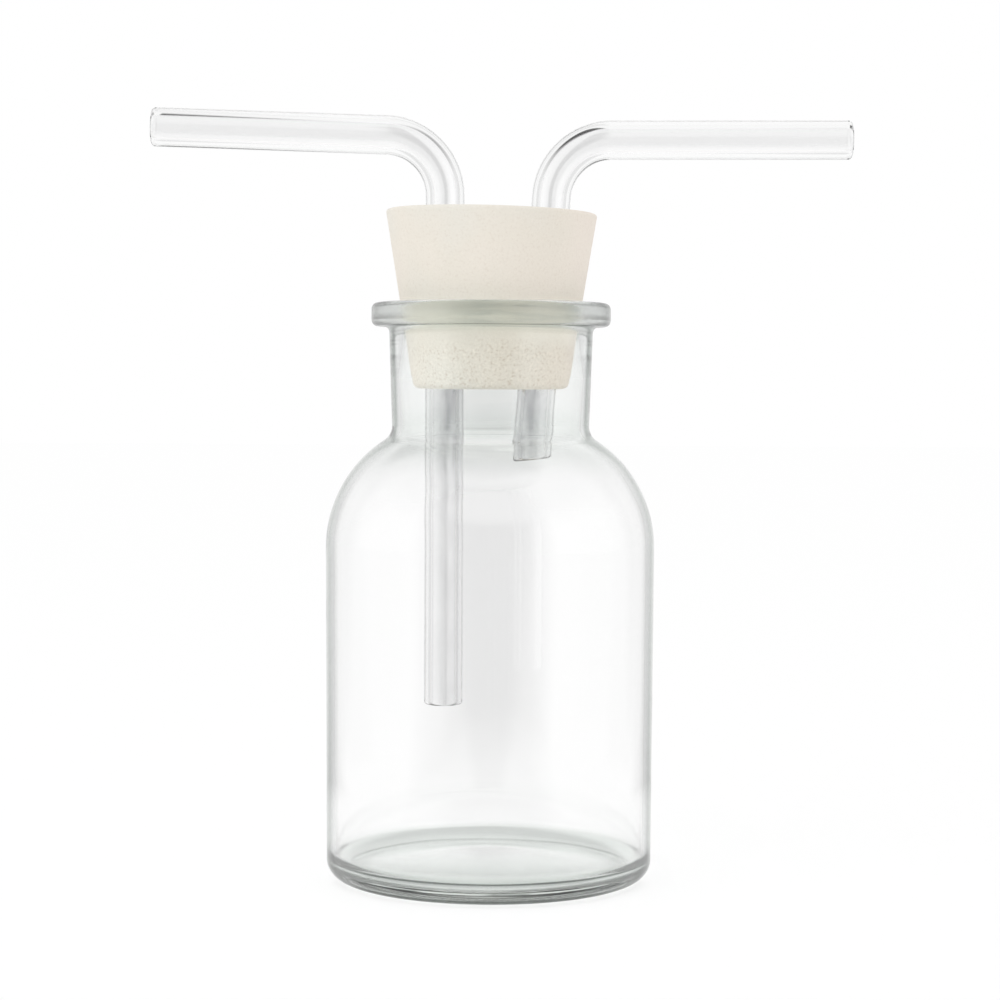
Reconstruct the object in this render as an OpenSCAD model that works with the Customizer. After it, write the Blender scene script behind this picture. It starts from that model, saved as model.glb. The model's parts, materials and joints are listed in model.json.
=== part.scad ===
// Gas washing bottle: a wide-mouth glass bottle, a two-hole rubber stopper and
// two right-angle glass tubes. The long inlet reaches down to bubble gas through
// the wash liquid, and the short outlet ends just below the neck.
// Millimetres, +Z up. The origin is where the bottle's axis meets the bench, and
// the inlet arm points along -X, the outlet arm along +X.

/* [Bottle] */
// Height of the bottle to the top of its rim
bottle_h = 119; // [112:1:160]
// Outer diameter of the body, just below the shoulder
body_d = 68; // [62:1:90]
// How far the body wall draws in from shoulder to heel, on the radius
body_draft = 0.3; // [0:0.1:1]
// Thickness of the body wall
body_wall = 1.8; // [1.2:0.1:3]
// Radius of the heel, where the wall turns under
heel_r = 4; // [2:0.5:8]
// Thickness of the base at its edge
base_t = 3.5; // [2.5:0.1:8]
// Radius inside, where the wall meets the floor
floor_r = 2.4; // [1:0.1:6]
// Rise of the pushed-up middle of the base
punt_h = 1.6; // [0.6:0.2:4]
// Width of the flat ring that the bottle stands on
bearing_w = 2.6; // [1.5:0.1:5]

/* [Shoulder and neck] */
// Radius of the shoulder arc
shoulder_r = 26.4; // [20:0.4:30]
// Radius of the hollow where the shoulder runs up into the neck
neck_fillet_r = 3.5; // [2:0.5:8]
// Length of the neck, from the hollow to the rim
neck_h = 20.5; // [16:0.5:30]
// How far the neck widens on its way up, on the radius
neck_flare = 0.65; // [0:0.05:1.2]
// Thickness of the neck wall below the mouth's seat
neck_wall = 1.5; // [1:0.1:2]

/* [Mouth] */
// Bore of the mouth at the top of the rim
mouth_d = 37.7; // [36:0.1:44]
// Height of the tapered seat that grips the stopper
seat_h = 6.8; // [5:0.1:12]
// Height in which the bore opens out below the seat
seat_step_h = 0.8; // [0.4:0.1:2]
// Glass between the mouth's bore and the top of the neck
finish_wall = 2.2; // [1.8:0.1:4]
// How far the rim stands out from the neck
rim_out = 3.65; // [2.5:0.05:6]
// Height of the rim
rim_h = 4.8; // [3.5:0.1:8]
// Radius of the rim's outer edges
rim_r = 1.3; // [0.6:0.1:1.6]
// Radius of the lip, where the mouth meets the rim
lip_r = 0.7; // [0.3:0.1:1.2]

/* [Stopper] */
// Taper of the stopper and of the mouth's seat, in degrees from the axis
stopper_taper = 9; // [4:0.5:11]
// Height of the stopper above the rim
stopper_stand = 19.2; // [10:0.2:30]
// Depth of the stopper below the rim
stopper_insert = 17.8; // [12:0.2:19]
// Radius of the stopper's lower edge
stopper_low_r = 2; // [0.5:0.1:2.4]
// Radius of the stopper's upper edge
stopper_top_r = 0.6; // [0.2:0.1:2]

/* [Tubes] */
// Outer diameter of both glass tubes
tube_d = 8; // [6:0.5:9]
// Wall of both glass tubes
tube_wall = 1.5; // [1:0.1:2]
// Radius of the tube's axis in its bend
bend_r = 12.5; // [10:0.5:20]
// How much the glass draws thinner in the bend, on each face of its wall
bend_draw = 0.05; // [0.03:0.01:0.15]
// Straight tube between the stopper and the bend
riser_h = 2.8; // [1:0.2:20]

/* [Inlet tube] */
// Distance of the inlet tube from the bottle's axis
inlet_x = 9.6; // [7:0.1:9.8]
// How far the inlet tube reaches below the stopper
inlet_reach = 65.3; // [30:0.1:80]
// Length of the inlet's arm
inlet_arm = 48.3; // [20:0.1:80]
// Rise of the inlet's arm, in degrees
inlet_rise = 1.7; // [0:0.1:5]

/* [Outlet tube] */
// Distance of the outlet tube from the bottle's axis, at the top of the stopper
outlet_x = 12.1; // [11:0.1:12.5]
// Lean of the outlet's hole and tube, in degrees
outlet_lean = 4; // [2:0.5:5]
// How far the outlet tube reaches below the stopper
outlet_reach = 14.3; // [6:0.1:40]
// Length of the outlet's arm
outlet_arm = 49.4; // [20:0.1:80]
// Rise of the outlet's arm, in degrees
outlet_rise = 0.3; // [0:0.1:5]

/* [Fits] */
// Gap between the stopper and the mouth's seat, square to the taper
seat_gap = 0.08; // [0.05:0.01:0.3]
// Gap between each tube and its hole, on the radius
tube_gap = 0.04; // [0.02:0.01:0.1]

/* [Hidden] */

// Circles are drawn finely, and the very flat arcs of the base more so
$fn = 128;
flat_arc_fn = 1440;
glass = [0.80, 0.86, 0.84, 0.6];
rubber = [0.92, 0.90, 0.85];

// Steps in the round of an edge that meets the taper
edge_steps = 8;

// The straight ends of a tube start this far inside its bend, so that they fuse
bend_lap = 0.5;

// Levels, from the rim down
rim_z = bottle_h - rim_h;
neck_z = rim_z - neck_h;
seat_z = bottle_h - seat_h;
stopper_z = bottle_h - stopper_insert;
stopper_h = stopper_insert + stopper_stand;
stopper_top = stopper_z + stopper_h;

// Radii of the outside
body_r = body_d / 2;
heel_out_r = body_r - body_draft;
mouth_r = mouth_d / 2;
neck_top_r = mouth_r + finish_wall;
neck_root_r = neck_top_r - neck_flare;
rim_out_r = neck_top_r + rim_out;

// The shoulder arc runs square off the body wall, and its centre is low enough
// for the hollow below the neck to touch both the arc and the neck
shoulder_x = body_r - shoulder_r;
shoulder_z = neck_z - centre_rise(shoulder_r, neck_fillet_r, neck_root_r);

// The space inside the shoulder keeps the same centre, one wall further in
inner_shoulder_r = shoulder_r - body_wall;
inner_neck_r = neck_root_r - neck_wall;
inner_fillet_r = neck_fillet_r + neck_wall;
inner_neck_z = shoulder_z + centre_rise(inner_shoulder_r, inner_fillet_r, inner_neck_r);

// Below the seat the bore opens out to the thinner wall of the neck
bore_top_r = neck_top_r - neck_wall;
bore_top_z = seat_z - seat_step_h;

// The base is pushed up between its bearing ring, and its floor rises as far
punt_out_r = heel_out_r - heel_r - bearing_w;
floor_out_r = heel_out_r - body_wall - floor_r;

// Tubes
tube_r = tube_d / 2;
tube_bore_r = tube_r - tube_wall;
hole_r = tube_r + tube_gap;
inlet_drop = riser_h + stopper_h + inlet_reach;
outlet_drop = riser_h + (stopper_h + outlet_reach) / cos(outlet_lean);

// Height between the centres of the shoulder arc and of the hollow above it
function centre_rise(arc_r, hollow_r, neck_r) =
    sqrt(pow(arc_r + hollow_r, 2) - pow(neck_r + hollow_r - shoulder_x, 2));

// Radius at height z of the mouth's taper, or of a line set outward from it
function taper_r(z, outward = 0) =
    mouth_r + (z - bottle_h) * tan(stopper_taper) + outward / cos(stopper_taper);

// Radius of an arc, from half its chord and its rise
function rise_arc_r(half_chord, rise) = (pow(half_chord, 2) + pow(rise, 2)) / (2 * rise);

// Points along an arc, from one angle to another
function arc(centre, r, from, to) = [
    for (i = [0:edge_steps])
        let (angle = from + (to - from) * i / edge_steps)
            centre + r * [cos(angle), sin(angle)]
];

// Centre of a round that touches a line set outward from the taper
function edge_centre(z, outward) = [taper_r(z, outward), z];

// What a round of radius r leaves over in the corner of a square
module corner_waste(r) {
    difference() {
        square(2 * r);
        circle(r);
    }
}

// The crown of a pushed-up base, down to the centre of its arc
module crown(half_chord, foot_z) {
    arc_r = rise_arc_r(half_chord, punt_h);
    translate([0, foot_z + punt_h - arc_r])
        circle(arc_r, $fn = flat_arc_fn);
}

// Half section of a filled bottle shape: foot, wall, shoulder arc and hollow
module vessel_section(foot_z, foot_r, foot_round, wall_r, arc_r, hollow_r, hollow_z, neck_r) {
    flat_r = foot_r - foot_round;
    translate([0, foot_z])
        square([flat_r, foot_round]);
    translate([flat_r, foot_z + foot_round])
        intersection() {
            circle(foot_round);
            translate([0, -foot_round])
                square(foot_round);
        }
    polygon([
        [0, foot_z + foot_round],
        [foot_r, foot_z + foot_round],
        [wall_r, shoulder_z],
        [0, shoulder_z]
    ]);
    intersection() {
        translate([shoulder_x, shoulder_z])
            circle(arc_r);
        translate([0, shoulder_z])
            square([wall_r, hollow_z - shoulder_z]);
    }
    difference() {
        polygon([
            [0, shoulder_z],
            [shoulder_x, shoulder_z],
            [neck_r + hollow_r, hollow_z],
            [0, hollow_z]
        ]);
        translate([neck_r + hollow_r, hollow_z])
            circle(hollow_r);
    }
}

// Half section of the neck and rim, filled
module neck_section() {
    fillet_z = rim_z - rim_r;
    polygon([
        [0, neck_z],
        [neck_root_r, neck_z],
        [neck_top_r, fillet_z],
        [neck_top_r, rim_z],
        [0, rim_z]
    ]);
    difference() {
        translate([0, fillet_z])
            square([neck_top_r + rim_r, 2 * rim_r]);
        translate([neck_top_r + rim_r, fillet_z])
            circle(rim_r);
    }
    difference() {
        translate([0, rim_z])
            square([rim_out_r, rim_h]);
        translate([rim_out_r - rim_r, bottle_h - rim_r])
            corner_waste(rim_r);
        translate([rim_out_r - rim_r, rim_z + rim_r])
            mirror([0, 1])
                corner_waste(rim_r);
    }
}

// Half section of the mouth: the neck's bore, the tapered seat and the lip
module mouth_section() {
    lip = edge_centre(bottle_h - lip_r, lip_r);
    above_z = bottle_h + lip_r;
    polygon(concat(
        [
            [0, inner_neck_z],
            [inner_neck_r, inner_neck_z],
            [bore_top_r, bore_top_z],
            [taper_r(seat_z), seat_z]
        ],
        arc(lip, lip_r, 180 - stopper_taper, 90),
        [[lip[0], above_z], [0, above_z]]
    ));
}

// The blown bottle
module bottle() {
    color(glass)
        rotate_extrude()
            difference() {
                union() {
                    vessel_section(0, heel_out_r, heel_r, body_r, shoulder_r,
                        neck_fillet_r, neck_z, neck_root_r);
                    neck_section();
                }
                crown(punt_out_r, 0);
                difference() {
                    vessel_section(base_t, heel_out_r - body_wall, floor_r,
                        body_r - body_wall, inner_shoulder_r, inner_fillet_r,
                        inner_neck_z, inner_neck_r);
                    crown(floor_out_r, base_t);
                }
                mouth_section();
            }
}

// The hole for a tube, right through whatever stands below the origin
module tube_hole() {
    cylinder(h = 4 * stopper_h, r = hole_r, center = true);
}

// Moves the outlet from its own frame, where it stands upright with its bend
// above the origin, to its place at the top of the stopper
module at_outlet() {
    translate([outlet_x, 0, stopper_top])
        rotate([0, outlet_lean, 0])
            children();
}

// Half section of the stopper, whose side faces out and a little down
module stopper_section() {
    low = edge_centre(stopper_z + stopper_low_r, -seat_gap - stopper_low_r);
    top = edge_centre(stopper_top - stopper_top_r, -seat_gap - stopper_top_r);
    polygon(concat(
        [[0, stopper_z]],
        arc(low, stopper_low_r, -90, -stopper_taper),
        arc(top, stopper_top_r, -stopper_taper, 90),
        [[0, stopper_top]]
    ));
}

// The tapered rubber stopper with its two holes
module stopper() {
    color(rubber)
        difference() {
            rotate_extrude()
                stopper_section();
            translate([-inlet_x, 0, stopper_z])
                tube_hole();
            at_outlet()
                tube_hole();
        }
}

// A straight tube along +Z from the origin, with a fire-polished far end
module polished_tube(length) {
    lip = tube_wall / 2;
    rotate_extrude() {
        translate([tube_bore_r, 0])
            square([tube_wall, length - lip]);
        translate([tube_bore_r + lip, length - lip])
            intersection() {
                circle(lip);
                translate([-lip, 0])
                    square([tube_wall, lip]);
            }
    }
}

// A bent tube. Its riser ends drop below the origin, where the bend begins, and
// its arm leaves towards +X after the given turn
module bent_tube(drop, turn, arm) {
    translate([0, 0, bend_lap])
        mirror([0, 0, 1])
            polished_tube(drop + bend_lap);
    translate([bend_r, 0, 0]) {
        rotate([90, 0, 180])
            rotate_extrude(angle = turn)
                translate([bend_r, 0])
                    difference() {
                        circle(tube_r - bend_draw);
                        circle(tube_bore_r + bend_draw);
                    }
        rotate([0, turn, 0])
            translate([-bend_r, 0, -bend_lap])
                polished_tube(arm + bend_lap);
    }
}

// The long tube that the gas comes in by
module inlet_tube() {
    color(glass)
        translate([-inlet_x, 0, stopper_top + riser_h])
            mirror([1, 0, 0])
                bent_tube(inlet_drop, 90 - inlet_rise, inlet_arm);
}

// The short tube that the gas leaves by
module outlet_tube() {
    color(glass)
        at_outlet()
            translate([0, 0, riser_h])
                bent_tube(outlet_drop, 90 - outlet_lean - outlet_rise, outlet_arm);
}

bottle();
stopper();
inlet_tube();
outlet_tube();
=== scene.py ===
"""Looks of a gas washing bottle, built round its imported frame.

The pieces are the blown bottle, the moulded rubber stopper and the two bent
glass tubes. Sizes in the classes are millimetres, and each mesh is turned to
metres as it is made. +Z is up, and the bottle stands on the bench at z = 0.
"""

import json
import logging
import math
from collections.abc import Callable
from dataclasses import dataclass, field
from enum import Enum
from typing import Any

import bmesh
import bpy
import numpy as np
from mathutils import Euler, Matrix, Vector


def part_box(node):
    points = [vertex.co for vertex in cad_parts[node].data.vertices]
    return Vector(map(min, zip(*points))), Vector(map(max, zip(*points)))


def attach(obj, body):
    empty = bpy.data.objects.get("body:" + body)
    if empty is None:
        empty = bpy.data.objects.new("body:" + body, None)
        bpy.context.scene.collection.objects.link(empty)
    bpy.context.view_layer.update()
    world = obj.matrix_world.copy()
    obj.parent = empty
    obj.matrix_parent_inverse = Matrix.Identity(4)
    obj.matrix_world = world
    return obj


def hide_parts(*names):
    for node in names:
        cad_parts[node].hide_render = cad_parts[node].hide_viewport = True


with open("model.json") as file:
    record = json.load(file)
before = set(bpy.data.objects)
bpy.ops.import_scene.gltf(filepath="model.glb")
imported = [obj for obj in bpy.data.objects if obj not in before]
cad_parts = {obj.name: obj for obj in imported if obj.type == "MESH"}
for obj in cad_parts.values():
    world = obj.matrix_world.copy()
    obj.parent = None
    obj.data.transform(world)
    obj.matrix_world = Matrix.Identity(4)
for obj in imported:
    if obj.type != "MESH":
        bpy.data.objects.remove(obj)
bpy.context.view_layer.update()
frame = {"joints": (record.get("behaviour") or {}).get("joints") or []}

MM = 0.001
TINY = 1e-6
WHITE = "#FFFFFF"
ALONG = "round_and_along"
Pair = tuple[float, float]
Triple = tuple[float, float, float]
Array = np.ndarray
Piece = bpy.types.Object
Material = bpy.types.Material
Tree = bpy.types.NodeTree
Node = bpy.types.Node
Source = bpy.types.NodeSocket | Node
log = logging.getLogger("washing_bottle")


class Slot(Enum):
    """The record's material slots."""

    BOTTLE = "bottle_glass"
    STOPPER = "stopper_rubber"
    TUBE = "tube_glass"


class Mark(Enum):
    """What the bottle's mesh stores at each point, for its glass to read."""

    OUTSIDE = "outside"
    THICKNESS = "thickness"
    PRESSED = "pressed"
    CHILLED = "chilled"
    SEATED = "seated"
    HEEL_SHADE_LINES = "heel_shade_lines"


# ---------------------------------------------------------------- materials


def linear(code: str) -> tuple[float, float, float, float]:
    """Turns a colour to what the shaders need.

    Args:
        code: The colour as sRGB hex, such as "#EBE5D9".

    Returns:
        Linear red, green and blue, and an alpha of 1.
    """
    parts = [int(code[i : i + 2], 16) / 255 for i in (1, 3, 5)]
    low, high = 0.04045, 0.055
    bent = [p / 12.92 if p <= low else ((p + high) / (1 + high)) ** 2.4 for p in parts]
    return (*bent, 1.0)


def per_metre(size: float) -> float:
    """Gives the texture scale at which one feature is size millimetres across."""
    return 1 / (size * MM)


def add_node(
    tree: Tree, kind: str, inputs: dict[str | int, Any] | tuple[Any, ...] = (), **settings: Any
) -> Node:
    """Adds a node to a tree, with its settings and its links.

    Args:
        tree: The node tree.
        kind: The node's type after "ShaderNode", such as "Math".
        inputs: What the inputs get, by name or in order: a value, a socket to
            link, or a node whose first output in use is linked.
        settings: The node's own properties.

    Returns:
        The new node.
    """
    node = tree.nodes.new("ShaderNode" + kind)
    for name, value in settings.items():
        setattr(node, name, value)
    for key, value in inputs.items() if isinstance(inputs, dict) else enumerate(inputs):
        if isinstance(value, Node):
            value = next(socket for socket in value.outputs if socket.enabled)
        if isinstance(value, bpy.types.NodeSocket):
            tree.links.new(value, node.inputs[key])
        else:
            node.inputs[key].default_value = value
    return node


def new_material(name: str) -> Material:
    """Makes an empty node material with that name.

    Args:
        name: The material's name.

    Returns:
        The material.
    """
    material = bpy.data.materials.new(name)
    material.use_nodes = True
    material.node_tree.nodes.clear()
    return material


@dataclass(frozen=True)
class ClearGlass:
    """What both glasses share: a polished skin over a body that tints the light on its way."""

    name: str = "glass_clear"
    clear: str = WHITE
    ior: float = 1.5
    body_colour: str = "#F2F2F2"
    absorption: float = 60.0

    def fill(self, tree: Tree, colour: Source, bump: Source, rough: Any = 0.0) -> None:
        """Adds the shader of the skin and the tint of the body.

        Args:
            tree: The material's tree.
            colour: The skin's colour.
            bump: Its normal.
            rough: Its roughness, as a number or a node.
        """
        skin = {
            "Base Color": colour,
            "Roughness": rough,
            "IOR": self.ior,
            "Transmission Weight": 1.0,
            "Normal": bump,
        }
        glass = add_node(tree, "BsdfPrincipled", skin)
        tint = {"Color": linear(self.body_colour), "Density": self.absorption}
        depth = add_node(tree, "VolumeAbsorption", tint)
        add_node(tree, "OutputMaterial", {"Surface": glass, "Volume": depth})


@dataclass(frozen=True)
class BlownGlass(ClearGlass):
    """Soda-lime glass, blown in a mould.

    Iron in the sand leaves a faint grey-green that only shows where the eye
    looks along a wall, and there it is deepened into painted shade for the dark
    surroundings that the edges show. The mould's chill leaves slow ripples.
    """

    name: str = "glass_soda_lime_blown"
    ior: float = 1.52
    body_colour: str = "#F3F4F3"
    absorption: float = 22.0
    # The iron's grey-green, deepened into painted shade where the eye looks along a wall.
    edge: str = "#7F8681"
    edge_shade_facing: Pair = (0.62, 0.80)
    thick: str = "#D1DBD4"
    # The colour of the painted shade lines round the heel.
    line: str = "#1C2A22"
    satin: float = 0.2
    chill: float = 0.2
    # A film streaked over the seat, which towards +X is also painted shade.
    film: str = "#C3CCD1"
    film_round: float = 14.0
    film_high: float = 1.1
    film_side: Pair = (-14.0, 7.0)
    film_noise: Pair = (0.42, 0.6)
    film_least: float = 0.2
    ripple_size: float = 9.0
    ripple_height: float = 0.004

    def build(self) -> Material:
        """Makes the material.

        Returns:
            The material, which reads the bottle's marks.
        """
        material = new_material(self.name)
        tree = material.node_tree
        marks = {
            mark: add_node(tree, "Attribute", attribute_name=mark.value).outputs["Fac"] for mark in Mark
        }
        place = add_node(tree, "TexCoord").outputs["Object"]
        ripple = add_node(
            tree, "TexNoise", {"Vector": place, "Scale": per_metre(self.ripple_size), "Detail": 2.0}
        )
        bump = add_node(tree, "Bump", {"Height": ripple, "Distance": self.ripple_height * MM})
        skin = add_node(tree, "Math", (marks[Mark.CHILLED], self.chill), operation="MULTIPLY")
        finish = (marks[Mark.PRESSED], self.satin, skin)
        rough = add_node(tree, "Math", finish, operation="MULTIPLY_ADD")
        self.fill(tree, self.colour(tree, place, marks), bump, rough)
        return material

    def colour(self, tree: Tree, place: Source, marks: dict[Mark, Source]) -> Source:
        """Tints the glass, with painted shade where the eye looks along the wall, and where its marks say
        so.

        Args:
            tree: The material's tree.
            place: The point on the object.
            marks: The bottle's marks.

        Returns:
            The colour.
        """
        # Painted shade: the glass darkens where the eye looks along the wall.
        facing = add_node(tree, "LayerWeight").outputs["Facing"]
        slant = add_node(tree, "MapRange", (facing, *self.edge_shade_facing))
        along = add_node(tree, "Math", (slant, marks[Mark.OUTSIDE]), operation="MULTIPLY")
        film = self.film_share(tree, place, marks[Mark.SEATED])
        colour: Any = linear(self.clear)
        for share, tint, blend in (
            (along, self.edge, "MIX"),
            (marks[Mark.THICKNESS], self.thick, "MULTIPLY"),
            (film, self.film, "MULTIPLY"),
            (marks[Mark.HEEL_SHADE_LINES], self.line, "MIX"),
        ):
            layer = {0: share, 6: colour, 7: linear(tint)}
            colour = add_node(tree, "Mix", layer, data_type="RGBA", blend_type=blend)
        return colour

    def film_share(self, tree: Tree, place: Source, seated: Source) -> Source:
        """Streaks the seat with the film that the pressed stopper leaves, which fades out towards -X, so
        that it also paints shade on the +X side.

        Args:
            tree: The material's tree.
            place: The point on the object.
            seated: The mark of the seat.

        Returns:
            The film's share, which is 0 off the seat.
        """
        scale = [per_metre(size) for size in (self.film_round, self.film_round, self.film_high)]
        stretch = add_node(tree, "Mapping", {"Vector": place, "Scale": scale})
        streaks = add_node(tree, "TexNoise", {"Vector": stretch, "Scale": 1.0, "Detail": 4.0})
        # Painted shade: the film grows towards +X, the side away from the light.
        across = add_node(tree, "SeparateXYZ", (place,)).outputs["X"]
        left, right = self.film_side
        sides = (across, left * MM, right * MM)
        side = add_node(tree, "MapRange", sides, interpolation_type="SMOOTHSTEP")
        amount = add_node(tree, "MapRange", (streaks, *self.film_noise, self.film_least))
        sided = add_node(tree, "Math", (side, amount), operation="MULTIPLY")
        return add_node(tree, "Math", (sided, seated), operation="MULTIPLY")


@dataclass(frozen=True)
class DrawnTubing(ClearGlass):
    """Clear glass tubing, drawn hot and fire-polished at its ends.

    Drawing leaves fine lines along the tube, which show as faint streaks. Real
    ones are about 0.1 mm apart, too fine to show, so they are drawn ten times
    as coarse.
    """

    name: str = "glass_tubing_drawn"
    film: str = "#CFCFD1"
    lines_round: float = 26.0
    line_length: float = 60.0
    line_detail: float = 3.0
    line_height: float = 0.006
    streaks_round: float = 7.0
    streak_length: float = 9.0
    streak_detail: float = 4.0
    streak_noise: Pair = (0.3, 0.7)
    streak_share: Pair = (0.3, 1.7)
    # Where the tube grows greyer below the stopper's foot, and over what length.
    grey_from: float = -39.8
    grey_length: float = 30.0
    grey_hidden: float = 2.0
    film_share: Pair = (0.12, 0.8)
    film_side: float = 0.4

    def build(self) -> Material:
        """Makes the material.

        Returns:
            The material, which reads how far round and along the tube a point is.
        """
        material = new_material(self.name)
        tree = material.node_tree
        place = add_node(tree, "UVMap", uv_map=ALONG)
        lines = self.drawn_noise(tree, place, self.lines_round, self.line_length, self.line_detail)
        bump = add_node(tree, "Bump", {"Height": lines, "Distance": self.line_height * MM})
        self.fill(tree, self.colour(tree, place), bump)
        return material

    def drawn_noise(self, tree: Tree, place: Source, around: float, length: float, detail: float) -> Source:
        """Adds noise drawn out along the tube.

        Args:
            tree: The material's tree.
            place: The point's place round and along the tube.
            around: How many features go round the tube.
            length: The length of a feature in millimetres.
            detail: The noise's detail.

        Returns:
            The noise, from 0 to 1.
        """
        stretch = add_node(tree, "Mapping", {"Vector": place, "Scale": (around, per_metre(length), 1.0)})
        return add_node(tree, "TexNoise", {"Vector": stretch, "Scale": 1.0, "Detail": detail})

    def colour(self, tree: Tree, place: Source) -> Source:
        """Greys the glass in streaks, most where it comes out under the stopper.

        Args:
            tree: The material's tree.
            place: The point's place round and along the tube.

        Returns:
            The colour.
        """
        streaks = self.drawn_noise(tree, place, self.streaks_round, self.streak_length, self.streak_detail)
        split = add_node(tree, "SeparateXYZ", (place,)).outputs
        low, high = (self.grey_from - self.grey_length) * MM, self.grey_from * MM
        under = (split["Y"], low, high, *self.film_share)
        near_foot = add_node(tree, "MapRange", under, interpolation_type="SMOOTHSTEP")
        top = (self.grey_from + self.grey_hidden) * MM
        below = add_node(tree, "Math", (split["Y"], top), operation="LESS_THAN")
        turn = add_node(tree, "Math", (split["X"], 2 * math.pi), operation="MULTIPLY")
        swing = add_node(tree, "Math", (turn,), operation="COSINE")
        drops = add_node(tree, "MapRange", (streaks, *self.streak_noise, *self.streak_share))
        sides = (swing, self.film_side, 1 - self.film_side)
        share = add_node(tree, "Math", sides, operation="MULTIPLY_ADD")
        for part in (drops, near_foot, below):
            share = add_node(tree, "Math", (share, part), operation="MULTIPLY")
        layer = {0: share, 6: linear(self.clear), 7: linear(self.film)}
        return add_node(tree, "Mix", layer, data_type="RGBA")


@dataclass(frozen=True)
class MouldedRubber:
    """Chalk-filled natural rubber, moulded and vulcanised.

    The filler leaves it matte and faintly speckled, and the cure leaves soft
    patches of pinker and greyer cream. The specks show more towards its foot,
    which also has painted shade that grows towards +X. The real grain is finer
    than 0.1 mm, too fine to show, so it is drawn as coarse as it needs to be.
    """

    name: str = "rubber_chalk_filled_moulded"
    cream: str = "#E7E1D6"
    pink: str = "#EBE3D9"
    grey: str = "#E4E1D8"
    patch_size: float = 30.0
    patch_noise: Pair = (0.35, 0.65)
    fleck: str = "#B09880"
    fleck_noise: Pair = (0.55, 0.75)
    chalk: str = "#FFF8EE"
    chalk_noise: Pair = (0.45, 0.25)
    speck_size: float = 0.5
    speck_share: float = 0.1
    # The colour of the painted shade on the foot's +X side, the side away from the light.
    painted_shade: str = "#F4F0ED"
    foot_share: float = 0.4
    foot_height: Pair = (112.0, 109.0)
    painted_shade_side: Pair = (-6.0, 12.0)
    grain_size: float = 0.3
    grain_height: float = 0.03
    roughness: float = 0.8
    ior: float = 1.5

    def build(self) -> Material:
        """Makes the material.

        Returns:
            The material.
        """
        material = new_material(self.name)
        tree = material.node_tree
        place = add_node(tree, "TexCoord").outputs["Object"]
        patches, specks, grain = (
            add_node(tree, "TexNoise", {"Vector": place, "Scale": per_metre(size), "Detail": detail})
            for size, detail in ((self.patch_size, 2.0), (self.speck_size, 1.0), (self.grain_size, 3.0))
        )
        ramp = add_node(tree, "ValToRGB", {"Fac": patches})
        ends = zip(ramp.color_ramp.elements, self.patch_noise, (self.pink, self.grey))
        for element, position, colour in ends:
            element.position = position
            element.color = linear(colour)
        ramp.color_ramp.elements.new(0.5).color = linear(self.cream)
        bump = add_node(tree, "Bump", {"Height": grain, "Distance": self.grain_height * MM})
        skin = {
            "Base Color": self.colour(tree, place, ramp, specks),
            "Roughness": self.roughness,
            "IOR": self.ior,
            "Normal": bump,
        }
        add_node(tree, "OutputMaterial", {"Surface": add_node(tree, "BsdfPrincipled", skin)})
        return material

    def colour(self, tree: Tree, place: Source, plain: Source, specks: Source) -> Source:
        """Speckles the cream, more towards the foot, and paints shade on the foot towards +X.

        Args:
            tree: The material's tree.
            place: The point on the object.
            plain: The cream without specks.
            specks: The noise that places them.

        Returns:
            The colour.
        """
        split = add_node(tree, "SeparateXYZ", (place,)).outputs
        above_foot, near_foot = self.foot_height
        heights = (split["Z"], above_foot * MM, near_foot * MM, self.speck_share, self.foot_share)
        most = add_node(tree, "MapRange", heights)
        colour = plain
        for noise, tint in ((self.fleck_noise, self.fleck), (self.chalk_noise, self.chalk)):
            share = add_node(tree, "MapRange", (specks, *noise, 0.0, most))
            colour = add_node(tree, "Mix", {0: share, 6: colour, 7: linear(tint)}, data_type="RGBA")
        # Painted shade: the foot darkens towards +X, the side away from the light.
        left, right = self.painted_shade_side
        sides = (split["X"], left * MM, right * MM, 0.0, most)
        side = add_node(tree, "MapRange", sides, interpolation_type="SMOOTHSTEP")
        share = add_node(tree, "Math", (side, 1 / self.foot_share), operation="MULTIPLY")
        layer = {0: share, 6: colour, 7: linear(self.painted_shade)}
        return add_node(tree, "Mix", layer, data_type="RGBA", blend_type="MULTIPLY")


# ------------------------------------------------------------------- meshes


@dataclass
class Outline:
    """A closed half section of radius and height, drawn as a pen would.

    A line has a point at every step, and one at the guard's distance from each
    end, which keeps its shading flat.
    """

    points: list[Pair]
    step: float = 1.2
    guard: float = 0.15

    def line(self, end: Pair) -> None:
        """Draws a line.

        Args:
            end: The line's last point.
        """
        (r0, z0), (r1, z1) = self.points[-1], end
        length = math.hypot(r1 - r0, z1 - z0)
        if length < TINY:
            return
        shares = [1.0]
        if length > 4 * self.guard:
            rows = max(1, round(length / self.step))
            edge = self.guard / length
            shares = [edge, *(i / rows for i in range(1, rows)), 1 - edge, 1.0]
        self.points += [(r0 + (r1 - r0) * t, z0 + (z1 - z0) * t) for t in shares]

    def arc(self, centre: Pair, radius: float, start: float, end: float, turn: float = 6.0) -> None:
        """Draws an arc about a centre, from one angle to another.

        Args:
            centre: The arc's centre.
            radius: Its radius.
            start: The angle where it starts, in degrees.
            end: The angle where it ends.
            turn: The largest angle between two points.
        """
        steps = max(2, math.ceil(abs(end - start) / turn))
        angles = [math.radians(start + (end - start) * i / steps) for i in range(steps + 1)]
        arc = [(centre[0] + radius * math.cos(a), centre[1] + radius * math.sin(a)) for a in angles]
        if math.dist(arc[0], self.points[-1]) > TINY:
            self.line(arc[0])
        self.points += arc[1:]


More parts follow.
